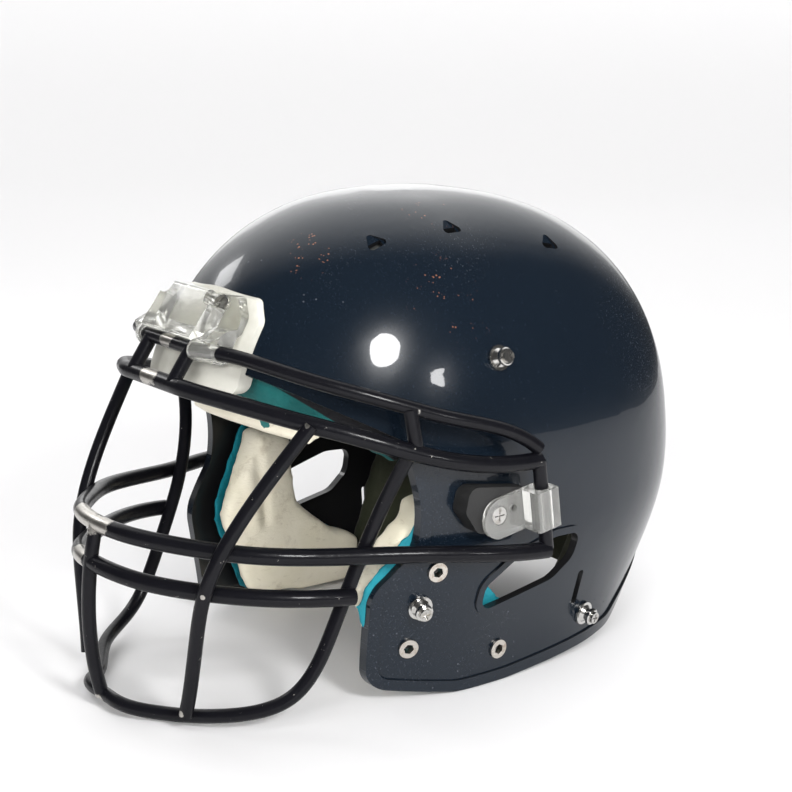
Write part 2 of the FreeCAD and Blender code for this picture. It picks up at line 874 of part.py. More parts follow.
SPACER_OUTLINE = [
    (-50.0, 105.5, 4.0),
    (-41.0, 92.5, 7.0),
    (-9.0, 92.5, 4.0),
    (-9.0, 112.5, 3.0),
    (-47.0, 118.5, 6.0),
]
BAR_TILT = 8.4  # degrees by which the mask's side bars lean back at the foot
BAR_SPOT = Vector(123.25, -4.6, 103.0)
STRAP_FRONT = 35.0  # from the bar to the strap's round front end


def padded_body(name, outline, length):
    """A PartDesign body: a rounded side-view outline padded along +X by an expression."""
    body = document.addObject("PartDesign::Body", name + "_body")
    sketch = body.newObject("Sketcher::SketchObject", name + "_sketch")
    plane = next(f for f in body.Origin.OriginFeatures if f.Role == "YZ_Plane")
    sketch.AttachmentSupport = [(plane, "")]
    sketch.MapMode = "FlatFace"
    sketch.addGeometry(rounded_segments(outline), False)
    pad = body.newObject("PartDesign::Pad", name + "_pad")
    pad.Profile = sketch
    pad.setExpression("Length", length)
    return body


def mirror_of(source):
    """The right-hand copy of a piece that goes into a group."""
    item = document.addObject("Part::Mirroring", source.Name + "_mirrored")
    item.Source = source
    item.Normal = Vector(1.0, 0.0, 0.0)
    return item


def frozen(name, shape):
    """A freeform tool for the booleans below."""
    item = document.addObject("Part::Feature", name)
    item.Shape = shape
    return item


SCREW_END_X = 100.3
STRAP_NOSE_Y = STRAP_FRONT - 10.75  # the middle of a strap's rounded front end
STRAP_BLOCK = (8.6, 14.6, 6.2)  # how far it starts behind its bar, its length, its outer face
BAR_PLAY = 0.3
SPACER_GAP = 0.3
SPACER_LIMIT = 15.0  # past the spacers' outer faces
SPARE_HOLE = (-19.8, 103.6, 1.9)  # Y, Z and radius of a strap's second hole


def screw_axis(side):
    """The line of a side clip's screw, its Z axis outwards from X = 0."""
    return Placement(
        Vector(0.0, CLIP_SCREW[0], CLIP_SCREW[1]), Rotation(Vector(0.0, 1.0, 0.0), 90.0 * side)
    )


def screw_drill(name, side, play):
    drill = primitive("Cylinder", name, raised(screw_axis(side), 80.0), Height="60")
    drill.setExpression("Radius", "Dims.clip_screw_radius + Dims." + play)
    return drill


def build_spacers():
    """The rubber spacers between the side clips' straps and the shell."""
    reach = "Dims.spacer_outer_x - Dims.spacer_root_x"
    layer = between_insets(-SPACER_LIMIT, -SPACER_GAP)
    for side_name, side in SIDES:
        block = padded_body("spacer_" + side_name, SPACER_OUTLINE, reach)
        start = "Dims.spacer_root_x" if side > 0 else "-Dims.spacer_outer_x"
        block.setExpression(".Placement.Base.x", start)
        outside = document.addObject("Part::Common", "spacer_outside_" + side_name)
        outside.Base = block
        outside.Tool = frozen("spacer_layer_" + side_name, layer)
        drill = screw_drill("spacer_drill_" + side_name, side, "spacer_play")
        label = "side_clip_spacer_" + side_name
        finish_part(cut_out(label, outside, drill), label)


def build_side_clips():
    strap_inner = size("spacer_outer_x") + 0.2
    build_spacers()

    place = Placement(BAR_SPOT, Rotation(Vector(1.0, 0.0, 0.0), BAR_TILT))
    inner = strap_inner - BAR_SPOT.x
    plate = primitive("Box", "strap_plate", Length="2 * Dims.strap_wall", Height="Dims.strap_height")
    plate.Width = STRAP_NOSE_Y + 2.0
    half = 0.5 * size("strap_height")
    plate.Placement = place.multiply(
        Placement(Vector(inner, -STRAP_NOSE_Y, -half), Rotation())
    )
    nose = primitive("Cylinder", "strap_nose", Radius="Dims.strap_height / 2", Height="2 * Dims.strap_wall")
    nose.Placement = place.multiply(
        Placement(
            Vector(inner, -STRAP_NOSE_Y, 0.0), Rotation(Vector(0.0, 1.0, 0.0), 90.0)
        )
    )
    block = primitive("Box", "strap_block", Height="Dims.strap_height")
    block_start, block_width, block_face = STRAP_BLOCK
    block.Length = block_face - inner
    block.Width = block_width
    block.Placement = place.multiply(
        Placement(Vector(inner, -block_start, -half), Rotation())
    )
    tunnel = primitive("Cylinder", "strap_tunnel", Radius="Dims.thin_wire / 2")
    tunnel.setExpression("Radius", "Dims.thin_wire / 2 + " + str(BAR_PLAY))
    tunnel.Height = 60.0
    tunnel.Placement = place.multiply(Placement(Vector(0.0, 0.0, -30.0), Rotation()))
    seat_x = strap_inner + 2.0 * size("strap_wall") - size("clip_screw_sink")
    head_recess = primitive("Cylinder", "strap_recess", raised(screw_axis(1.0), seat_x), Height="20")
    head_recess.setExpression("Radius", "Dims.clip_screw_head + 0.5")
    spare = primitive("Cylinder", "strap_spare_hole")
    spare.Radius = SPARE_HOLE[2]
    spare.Height = 60.0
    spare.Placement = Placement(
        Vector(80.0, SPARE_HOLE[0], SPARE_HOLE[1]), Rotation(Vector(0.0, 1.0, 0.0), 90.0)
    )
    body = joined("strap_body", [plate, nose, block])
    tools = joined(
        "strap_tools", [tunnel, screw_drill("strap_drill", 1.0, "hole_play"), head_recess, spare]
    )
    strap = cut_out("strap", body, tools)
    grouped("side_clip_left", [strap])
    mirror_image(strap, "side_clip_right")

    left_screw = screw(
        "side_clip",
        raised(screw_axis(1.0), SCREW_END_X),
        seat_x - SCREW_END_X,
        0.0,
        "clip_screw_radius",
        "clip_screw_head",
        "clip_screw_rise",
    )
    grouped("side_clip_screws", [left_screw, mirror_of(left_screw)])


build_side_clips()


# ---------------------------------------------------------------- brow clip screws, nuts


def nut(tag, place, bore_radius):
    """A round nut, its Z axis along its screw and its seat at place."""
    disc = primitive(
        "Cylinder", "nut_disc_" + tag, place, Radius="Dims.nut_radius", Height="Dims.nut_height"
    )
    hole = primitive("Cylinder", "nut_hole_" + tag, raised(place, -1.0), Radius=bore_radius)
    return cut_out("nut_" + tag, disc, hole)


def build_brow_screws_and_nuts():
    screws = []
    nuts = []
    nut_gap = 0.5
    top = WALL + nut_gap + size("nut_height")
    for side_name, side in SIDES:
        place = brow_placement(side)
        screws.append(
            screw(
                "brow_" + side_name,
                place,
                CLIP_SEAT + WELL_FLOOR,
                top,
                "snap_screw_radius",
                "clip_screw_head",
                "brow_screw_rise",
            )
        )
        nuts.append(nut("brow_" + side_name, raised(place, -top), "Dims.snap_bore_radius"))
    y, z = CLIP_SCREW
    nut_x = surface_x(y, z) - top
    side_nut = nut("side", raised(screw_axis(1.0), nut_x), "Dims.clip_screw_radius + Dims.hole_play")
    grouped("front_clip_screws", screws)
    grouped("shell_nuts", nuts + [side_nut, mirror_of(side_nut)])


build_brow_screws_and_nuts()


# ---------------------------------------------------------------- jaw pads

JAW_COVER_OUTLINE = [
    (-52.0, 107.5, 9.0),
    (-27.0, 104.0, 8.0),
    (-25.0, 61.0, 20.0),
    (3.0, 37.0, 14.0),
    (24.0, 29.5, 5.0),
    (20.0, 2.6, 4.0),
    (-20.0, 3.6, 20.0),
    (-67.0, 10.0, 12.0),
    (-84.5, 59.0, 20.0),
]
JAW_BASE_OUTLINE = [
    (-53.0, 109.5, 9.0),
    (-25.2, 105.8, 8.0),
    (-23.2, 62.0, 20.0),
    (4.0, 38.8, 14.0),
    (26.2, 31.2, 6.0),
    (22.0, 0.9, 4.0),
    (-20.0, 1.7, 20.0),
    (-68.5, 8.0, 12.0),
    (-87.0, 60.0, 20.0),
]
PIN_RADIUS = 1.5
PIN_REACH = 2.6  # how far a pin reaches into its socket
NUT_POCKET_X = 99.6


def jaw_slab(name, side, outline, space):
    """A slab of one side's L-shaped pad that fills a layer under the ear flap."""
    reach = "Dims.jaw_reach_x - Dims.jaw_inner_x"
    body = padded_body(name, outline, reach)
    start = "Dims.jaw_inner_x" if side > 0 else "-Dims.jaw_reach_x"
    body.setExpression(".Placement.Base.x", start)
    layer = document.addObject("Part::Common", name + "_layer")
    layer.Base = body
    layer.Tool = frozen(name + "_space", space)
    pocket = primitive("Cylinder", name + "_pocket", raised(screw_axis(side), NUT_POCKET_X))
    pocket.setExpression("Radius", "Dims.nut_radius + 0.8")
    return cut_out(name + "_slab", layer, pocket)


def jaw_pin(tag, y, z):
    """A pin along X that plugs into a socket of the ear flap."""
    socket_place = raised(on_side(y, z), -0.5 * PIN_REACH - 0.7)
    spot = socket_place.Base
    tip = surface_x(y, z) - WALL + PIN_REACH
    root = tip - PIN_REACH - 0.5 * size("jaw_base_thick") - 1.0
    pin = primitive("Cylinder", "jaw_pin_" + tag)
    pin.Radius = PIN_RADIUS
    pin.Height = tip - root
    pin.Placement = Placement(Vector(root, spot.y, spot.z), Rotation(Vector(0.0, 1.0, 0.0), 90.0))
    return pin


def build_jaw_pads():
    base_inset = WALL + 0.6
    base_space = between_insets(base_inset, base_inset + size("jaw_base_thick"))
    cover_space = helmet_solid(base_inset + size("jaw_base_thick") + size("liner_gap"), -18.0)
    for side_name, side in SIDES:
        base = jaw_slab("jaw_base_" + side_name, side, JAW_BASE_OUTLINE, base_space)
        finish_part(base, "jaw_pad_base_" + side_name)
        cover = jaw_slab("jaw_cover_" + side_name, side, JAW_COVER_OUTLINE, cover_space)
        finish_part(cover, "jaw_pad_cover_" + side_name)
    pins = [jaw_pin(str(n), y, z) for n, (y, z) in enumerate(SOCKET_SPOTS, start=1)]
    grouped("jaw_pad_pins_left", pins)
    grouped("jaw_pad_pins_right", [mirror_of(pin) for pin in pins])


build_jaw_pads()


# ---------------------------------------------------------------- face mask

# Each wire's centre line. The wires that cross the middle are given as their left
# half, from X = 0 outwards. The first stretch of the two brow wires is straight.
TOP_BAR = [
    (0.0, BAR_Y, BAR_Z),
    (22.0, BAR_Y, BAR_Z),
    (30.0, -147.0, 186.1),
    (38.0, -142.6, 185.4),
    (56.0, -136.2, 183.6),
    (76.0, -123.6, 178.4),
    (100.0, -93.0, 167.6),
    (114.0, -60.0, 156.4),
    (121.0, -24.0, 144.5),
    (122.8, -8.5, 134.5),
]
BROW_BAR = [
    (0.0, -160.5, 168.8),
    (22.0, -160.5, 168.8),
    (35.5, -156.5, 167.3),
    (52.0, -148.5, 164.8),
    (77.0, -130.0, 158.5),
    (98.0, -104.0, 149.8),
    (114.7, -67.0, 136.8),
    (121.3, -33.5, 129.9),
    (122.9, -8.0, 128.5),
]
UPPER_BAR = [
    (0.0, -195.0, 98.8),
    (25.0, -190.4, 98.0),
    (48.0, -175.4, 95.6),
    (73.0, -151.0, 92.7),
    (96.0, -96.0, 87.5),
    (108.5, -66.0, 85.6),
    (118.5, -36.0, 82.5),
    (123.8, -1.0, 79.0),
]
LOWER_BAR = [
    (0.0, -198.5, 78.8),
    (28.0, -191.0, 76.2),
    (54.5, -170.6, 72.8),
    (78.6, -142.2, 70.2),
    (92.0, -103.0, 66.5),
]
CHIN_BAR = [
    (0.0, -194.4, 6.4),
    (8.0, -194.4, 6.4),
    (31.8, -181.4, 3.78),
    (60.5, -161.3, 6.8),
    (79.6, -132.8, 15.5),
    (85.4, -110.4, 49.9),
    (88.5, -94.5, 87.4),
    (96.0, -85.5, 115.9),
    (107.5, -81.0, 139.0),
]
CENTRE_BAR = [
    (0.0, -195.8, 98.5),
    (0.0, -201.2, 62.0),
    (0.0, -200.3, 30.0),
    (0.0, -195.6, 6.5),
]
SLANT_BAR = [
    (86.5, -124.5, 156.5),
    (72.3, -158.6, 107.7),
    (63.9, -172.9, 71.9),
    (60.4, -174.6, 53.1),
    (56.7, -175.3, 32.7),
    (51.5, -176.8, 8.0),
]
SIDE_BAR = [(123.0, -8.2, 128.0), (123.5, -1.2, 80.0)]
BRACE = [(107.5, -80.5, 162.5), (109.5, -77.5, 141.0)]
POST = [(19.6, -149.0, 187.6), (19.6, -161.2, 169.9)]


def mirrored(points):
    return [(-x, y, z) for x, y, z in points]


def smooth_path(points, straight_start):
    """A spline through points; it leaves the first one along X where asked to."""
    vectors = [Vector(*point) for point in points]
    curve = Part.BSplineCurve()
    if not straight_start:
        curve.interpolate(Points=vectors)
        return curve
    tangent = Vector(1.0 if vectors[1].x > vectors[0].x else -1.0, 0.0, 0.0)
    flags = [True] + [False] * (len(vectors) - 1)
    curve.interpolate(Points=vectors, Tangents=[tangent] * len(vectors), TangentFlags=flags)
    return curve


def wire_edges(points, straight_middle, whole):
    """The edges of a mask wire's centre line, from one end to the other."""
    if straight_middle:
        left = smooth_path(points[1:], True)
        right = smooth_path(mirrored(points[1:]), True)
        right.reverse()
        middle = Part.LineSegment(Vector(*mirrored(points)[1]), Vector(*points[1]))
        return [right.toShape(), middle.toShape(), left.toShape()]
    if whole:
        points = list(reversed(mirrored(points[1:]))) + points
    if len(points) == 2:
        return [Part.LineSegment(Vector(*points[0]), Vector(*points[1])).toShape()]
    return [smooth_path(points, False).toShape()]


def mask_wire(label, points, diameter, straight_middle=False, whole=False):
    """Sweep a round section of a sheet diameter along a centre line."""
    edges = wire_edges(points, straight_middle, whole)
    path_wire = Part.Wire(edges)
    path = frozen(label + "_path", path_wire)
    section = primitive("Circle", label + "_section", Radius="Dims.%s / 2" % diameter)
    first = path_wire.Edges[0]
    start = first.valueAt(first.FirstParameter)
    heading = first.tangentAt(first.FirstParameter)
    section.Placement = Placement(start, Rotation(Vector(0.0, 0.0, 1.0), heading))
    sweep = document.addObject("Part::Sweep", label)
    sweep.Sections = [section]
    sweep.Spine = (path, ["Edge%d" % (n + 1) for n in range(len(path_wire.Edges))])
    sweep.Solid = True
    sweep.Frenet = False
    finish_part(sweep, label)
    return path_wire.Length * math.pi * size(diameter) ** 2 / 4.0


def build_mask():
    """All the mask's wires; returns the volume each should have."""
    volumes = {}
    volumes["mask_top_bar"] = mask_wire("mask_top_bar", TOP_BAR, "thin_wire", straight_middle=True)
    volumes["mask_brow_bar"] = mask_wire("mask_brow_bar", BROW_BAR, "thick_wire", straight_middle=True)
    volumes["mask_upper_bar"] = mask_wire("mask_upper_bar", UPPER_BAR, "thick_wire", whole=True)
    volumes["mask_lower_bar"] = mask_wire("mask_lower_bar", LOWER_BAR, "thick_wire", whole=True)
    volumes["mask_chin_bar"] = mask_wire("mask_chin_bar", CHIN_BAR, "thin_wire", straight_middle=True)
    volumes["mask_centre_bar"] = mask_wire("mask_centre_bar", CENTRE_BAR, "thin_wire")
    for stem, points in (
        ("mask_slant_bar", SLANT_BAR),
        ("mask_side_bar", SIDE_BAR),
        ("mask_brace", BRACE),
        ("mask_post", POST),
    ):
        volumes[stem + "_left"] = mask_wire(stem + "_left", points, "thin_wire")
        volumes[stem + "_right"] = mask_wire(stem + "_right", mirrored(points), "thin_wire")
    return volumes


WIRE_VOLUMES = build_mask()


# ---------------------------------------------------------------- front clip loops

LOOP_FROM = 24.2
LOOP_TO = 37.0
LOOP_RADIUS = 5.8
LOOP_BORE = 0.5 * size("thin_wire") + 0.35
# Side view of the web that joins a loop to the clip's flange.
LOOP_WEB = [
    (-150.0, 191.9, 0.5),
    (-139.0, 196.5, 3.0),
    (-112.0, 196.5, 0.5),
    (-112.0, 184.5, 0.5),
    (-139.0, 180.6, 4.0),
    (-148.0, 180.6, 0.5),
]


def tube_about_bar(radius):
    """A tube along the left half of the mask's top bar."""
    path = Part.Wire(smooth_path(TOP_BAR[1:], True).toShape())
    start = Vector(*TOP_BAR[1])
    section = Part.Wire(Part.makeCircle(radius, start, Vector(1.0, 0.0, 0.0)))
    return path.makePipeShell([section], True, False)


def build_front_loops():
    """The clip's flexible loops, which follow the bar's bend."""
    span = box_between((LOOP_FROM, -200.0, 150.0), (LOOP_TO, -80.0, 230.0))
    web = side_prism(LOOP_WEB, LOOP_FROM, LOOP_TO).cut(helmet_solid(-CLIP_SEAT - FLANGE_WALL - 0.1))
    ring = tube_about_bar(LOOP_RADIUS).common(span)
    left = ring.fuse(web).cut(tube_about_bar(LOOP_BORE))
    left = max(left.Solids, key=lambda solid: solid.Volume)
    mirror_image(frozen("front_loop", left), "front_clip_loop_right")
    free_part("front_clip_loop_left", left)


build_front_loops()


# ---------------------------------------------------------------- checks and files


VOLUME_TOLERANCE = 0.03


def check_model():
    document.recompute()
    for item in document.Objects:
        bad = [state for state in item.State if state in ("Invalid", "Error")]
        if bad:
            raise RuntimeError("%s is %s" % (item.Name, bad))
    for item in sub_parts:
        if item.Shape.isNull() or not item.Shape.isValid():
            raise RuntimeError("%s has no valid shape" % item.Label)
        wanted = WIRE_VOLUMES.get(item.Label)
        if wanted and abs(item.Shape.Volume / wanted - 1.0) > VOLUME_TOLERANCE:
            volumes = (item.Label, item.Shape.Volume, wanted)
            raise RuntimeError("%s has a volume of %.0f, not %.0f" % volumes)


def write_parts():
    os.makedirs("parts", exist_ok=True)
    for item in sub_parts:
        item.Shape.exportStep("parts/%s.step" % item.Label)
        print("%-26s %9.1f mm3, %d solids" % (item.Label, item.Shape.Volume, len(item.Shape.Solids)))


check_model()
write_parts()
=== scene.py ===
import math

import bmesh
import bpy
from mathutils import Matrix, Vector
from mathutils.bvhtree import BVHTree


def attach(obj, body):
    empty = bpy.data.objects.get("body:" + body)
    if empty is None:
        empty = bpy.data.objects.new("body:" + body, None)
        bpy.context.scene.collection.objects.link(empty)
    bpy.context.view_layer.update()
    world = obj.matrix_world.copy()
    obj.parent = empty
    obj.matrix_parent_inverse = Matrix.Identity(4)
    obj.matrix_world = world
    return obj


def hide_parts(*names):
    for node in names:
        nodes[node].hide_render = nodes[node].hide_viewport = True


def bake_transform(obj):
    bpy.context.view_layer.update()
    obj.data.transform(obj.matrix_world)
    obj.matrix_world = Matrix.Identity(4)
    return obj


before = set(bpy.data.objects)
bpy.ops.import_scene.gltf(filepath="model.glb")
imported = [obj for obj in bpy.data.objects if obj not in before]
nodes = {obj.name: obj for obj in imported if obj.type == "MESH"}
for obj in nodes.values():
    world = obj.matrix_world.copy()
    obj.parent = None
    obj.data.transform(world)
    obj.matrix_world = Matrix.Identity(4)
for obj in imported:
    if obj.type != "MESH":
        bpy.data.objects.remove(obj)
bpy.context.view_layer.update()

SIDES = (("left", 1.0), ("right", -1.0))


# ------------------------------------------------------------------ camera, floor, light

def add_camera():
    """A camera in front of the wearer's left side, a little above."""
    data = bpy.data.cameras.new("camera")
    camera = bpy.data.objects.new("camera", data)
    bpy.context.scene.collection.objects.link(camera)
    right = Vector((0.61815, 0.78600, 0.00954))
    up = Vector((-0.18994, 0.13758, 0.97211))
    back = Vector((0.76277, -0.60272, 0.23434))
    place = Matrix((right, up, back)).transposed().to_4x4()
    place.translation = Vector((0.701556, -0.537082, 0.352930))
    camera.matrix_world = place
    data.sensor_width = 36.0
    data.lens = 73.594
    data.clip_start = 0.05
    data.clip_end = 120.0
    bpy.context.scene.camera = camera
    bpy.context.scene.view_settings.view_transform = "Standard"


FLOOR_SIDES = 64
FLOOR_DROP = 0.0006  # the floor lies just under the jaw flaps
NEAR_FLOOR = [(0.05, 0.0), (0.6, 0.0), (1.3, 0.0)]
FAR_FLOOR = [
    (1.3, 0.0),
    (4.0, 0.0),
    (12.0, 0.0),
    (24.0, 0.6),
    (36.0, 3.5),
    (46.0, 9.0),
    (52.0, 16.0),
]


def pale_ring(name, profile, filled=False):
    """A wide ring of pale floor, from (reach, height) pairs."""
    mesh = bpy.data.meshes.new(name)
    bm = bmesh.new()
    count = FLOOR_SIDES
    rows = []
    for reach, height in profile:
        row = []
        for k in range(count):
            turn = 2.0 * math.pi * k / count
            spot = (reach * math.cos(turn), reach * math.sin(turn), height - FLOOR_DROP)
            row.append(bm.verts.new(spot))
        rows.append(row)
    if filled:
        bm.faces.new(rows[0])
    for inner, outer in zip(rows, rows[1:]):
        for k in range(count):
            n = (k + 1) % count
            bm.faces.new((inner[k], outer[k], outer[n], inner[n]))
    for face in bm.faces:
        face.smooth = True
    bm.to_mesh(mesh)
    bm.free()
    ring = bpy.data.objects.new(name, mesh)
    bpy.context.scene.collection.objects.link(ring)
    return ring


def add_floor():
    """A pale floor. Its far part isn't mirrored in the paint, as in a dark studio."""
    material = bpy.data.materials.new("floor_paper")
    material.use_nodes = True
    shader = material.node_tree.nodes["Principled BSDF"]
    shader.inputs["Base Color"].default_value = (0.82, 0.815, 0.82, 1.0)
    shader.inputs["Roughness"].default_value = 0.85
    shader.inputs["Specular IOR Level"].default_value = 0.15
    near = pale_ring("floor", NEAR_FLOOR, True)
    far = pale_ring("floor_far", FAR_FLOOR)
    far.visible_glossy = False
    for ring in (near, far):
        ring.data.materials.append(material)


def add_area(name, place, target, width, power, height=None, shape="RECTANGLE"):
    """A lamp that shows as a soft highlight in the paint."""
    data = bpy.data.lights.new(name, "AREA")
    data.shape = shape
    data.size = width
    if height:
        data.size_y = height
    data.energy = power
    light = bpy.data.objects.new(name, data)
    bpy.context.scene.collection.objects.link(light)
    light.location = place
    aim = Vector(target) - Vector(place)
    light.rotation_euler = aim.to_track_quat("-Z", "Y").to_euler()
    return light


def add_sun(name, direction, power, spread):
    """Broad soft light that isn't mirrored in glossy paint."""
    data = bpy.data.lights.new(name, "SUN")
    data.energy = power
    data.angle = math.radians(spread)
    sun = bpy.data.objects.new(name, data)
    bpy.context.scene.collection.objects.link(sun)
    sun.rotation_euler = Vector(direction).to_track_quat("-Z", "Y").to_euler()
    sun.visible_glossy = False


def add_world():
    """A bright patch of ceiling behind the helmet that fades into a dark studio."""
    world = bpy.data.worlds.new("studio")
    bpy.context.scene.world = world
    world.use_nodes = True
    back = world.node_tree.nodes["Background"]
    back.inputs["Color"].default_value = (1.0, 1.0, 1.0, 1.0)
    links = world.node_tree.links
    where = world.node_tree.nodes.new("ShaderNodeTexCoord")
    dot = world.node_tree.nodes.new("ShaderNodeVectorMath")
    dot.operation = "DOT_PRODUCT"
    dot.inputs[1].default_value = Vector((-0.60, 0.42, 0.68)).normalized()
    links.new(where.outputs["Generated"], dot.inputs[0])
    fade = world.node_tree.nodes.new("ShaderNodeMapRange")
    fade.interpolation_type = "SMOOTHSTEP"
    for key, value in (("From Min", 0.55), ("From Max", 1.0), ("To Min", 0.07), ("To Max", 1.7)):
        fade.inputs[key].default_value = value
    links.new(dot.outputs["Value"], fade.inputs["Value"])
    links.new(fade.outputs["Result"], back.inputs["Strength"])


def add_light():
    add_world()
    add_sun("key_sun", (-0.45, 0.50, -1.0), 0.75, 50.0)
    add_sun("fill_sun", (-0.2, -0.55, -1.0), 0.35, 70.0)
    add_sun("low_sun", (-0.77, 0.61, -0.22), 2.5, 30.0)
    add_sun("front_sun", (-0.45, 0.85, -0.30), 2.3, 30.0)
    # Each lamp aims at the place on the shell where its highlight shows.
    add_area("round_soft", (1.118, -0.187, 0.78), (0.08, -0.055, 0.187), 0.30, 11.0, None, "DISK")
    add_area("small_soft", (1.22, 0.255, 0.479), (0.095, -0.03, 0.173), 0.12, 1.3, 0.11)
    add_area("streak_soft", (-1.006, -0.336, 0.826), (-0.001, -0.095, 0.217), 0.30, 1.6, 0.22)
    rim = add_area("rim_soft", (-1.6, 1.45, 0.55), (0.0, 0.0, 0.12), 2.0, 4.0, 0.7)
    rim.visible_diffuse = False


# ------------------------------------------------------------------ node materials

class Mat:
    """A small helper that builds a procedural material."""

    def __init__(self, name):
        self.material = bpy.data.materials.new(name)
        self.material.use_nodes = True
        self.tree = self.material.node_tree
        self.shader = self.tree.nodes["Principled BSDF"]
        self.where = self.node("ShaderNodeTexCoord").outputs["Object"]

    def node(self, kind, **settings):
        made = self.tree.nodes.new(kind)
        for key, value in settings.items():
            setattr(made, key, value)
        return made

    def link(self, source, target):
        self.tree.links.new(source, target)

    def set(self, **values):
        for key, value in values.items():
            socket = self.shader.inputs[key.replace("_", " ")]
            if isinstance(value, tuple) and len(value) == 3 and socket.type == "RGBA":
                value = value + (1.0,)
            socket.default_value = value

    def scaled(self, scale, turn=(0.0, 0.0, 0.0)):
        mapping = self.node("ShaderNodeMapping")
        mapping.inputs["Scale"].default_value = scale
        mapping.inputs["Rotation"].default_value = turn
        self.link(self.where, mapping.inputs["Vector"])
        return mapping.outputs["Vector"]

    def noise(self, scale, detail=4.0, rough=0.55, stretch=(1.0, 1.0, 1.0), turn=(0.0, 0.0, 0.0),
              distortion=0.0):
        made = self.node("ShaderNodeTexNoise")
        made.inputs["Scale"].default_value = scale
        made.inputs["Detail"].default_value = detail
        made.inputs["Roughness"].default_value = rough
        made.inputs["Distortion"].default_value = distortion
        self.link(self.scaled(stretch, turn), made.inputs["Vector"])
        return made.outputs["Fac"]

    def cells(self, scale):
        made = self.node("ShaderNodeTexVoronoi", feature="F1")
        made.inputs["Scale"].default_value = scale
        self.link(self.scaled((1.0, 1.0, 1.0)), made.inputs["Vector"])
        return made.outputs["Distance"]

    def ramp(self, value, low, high, out_low=0.0, out_high=1.0):
        made = self.node("ShaderNodeMapRange", interpolation_type="SMOOTHSTEP")
        made.inputs["From Min"].default_value = low
        made.inputs["From Max"].default_value = high
        made.inputs["To Min"].default_value = out_low
        made.inputs["To Max"].default_value = out_high
        self.link(value, made.inputs["Value"])
        return made.outputs["Result"]

    def math(self, operation, a, b=None):
        made = self.node("ShaderNodeMath", operation=operation)
        for socket, value in zip(made.inputs, (a, b)):
            if value is None:
                continue
            if isinstance(value, (int, float)):
                socket.default_value = value
            else:
                self.link(value, socket)
        return made.outputs["Value"]

    def near(self, point, inner, outer):
        """1 within inner of a point, falling to 0 at outer."""
        made = self.node("ShaderNodeVectorMath", operation="DISTANCE")
        self.link(self.where, made.inputs[0])
        made.inputs[1].default_value = point
        return self.ramp(made.outputs["Value"], inner, outer, 1.0, 0.0)

    def ragged(self, close, scale, detail, reach):
        """A nearness whose edge a fine noise breaks up."""
        noise = self.math("SUBTRACT", self.noise(scale, detail, 0.7), 0.5)
        return self.math("ADD", close, self.math("MULTIPLY", noise, reach))

    def most(self, values):
        total = values[0]
        for value in values[1:]:
            total = self.math("MAXIMUM", total, value)
        return total

    def axis(self, index):
        made = self.node("ShaderNodeSeparateXYZ")
        self.link(self.where, made.inputs[0])
        return made.outputs[index]

    def mix(self, factor, a, b):
        made = self.node("ShaderNodeMix", data_type="RGBA")
        self.link(factor, made.inputs["Factor"])
        for socket, value in ((made.inputs[6], a), (made.inputs[7], b)):
            if isinstance(value, tuple):
                socket.default_value = value + (1.0,)
            else:
                self.link(value, socket)
        return made.outputs[2]

    def mix_value(self, factor, a, b):
        made = self.node("ShaderNodeMix", data_type="FLOAT")
        self.link(factor, made.inputs["Factor"])
        for socket, value in ((made.inputs[2], a), (made.inputs[3], b)):
            if isinstance(value, (int, float)):
                socket.default_value = value
            else:
                self.link(value, socket)
        return made.outputs[0]

    def color(self, value):
        self.link(value, self.shader.inputs["Base Color"])

    def rough(self, value):
        self.link(value, self.shader.inputs["Roughness"])

    def bump(self, height, strength=0.3, distance=0.0005):
        made = self.node("ShaderNodeBump")
        made.inputs["Strength"].default_value = strength
        made.inputs["Distance"].default_value = distance
        self.link(height, made.inputs["Height"])
        if self.shader.inputs["Normal"].is_linked:
            self.link(self.shader.inputs["Normal"].links[0].from_socket, made.inputs["Normal"])
        self.link(made.outputs["Normal"], self.shader.inputs["Normal"])


HEAD_CENTRE = (0.0, 0.0, 0.105)

# Red rubs on the crown: each one's middle and reach.
RUB_MARKS = [
    ((0.0349, -0.0667, 0.2322), 0.022),
    ((0.0840, -0.0149, 0.2084), 0.030),
    ((0.0403, 0.0036, 0.2498), 0.022),
]


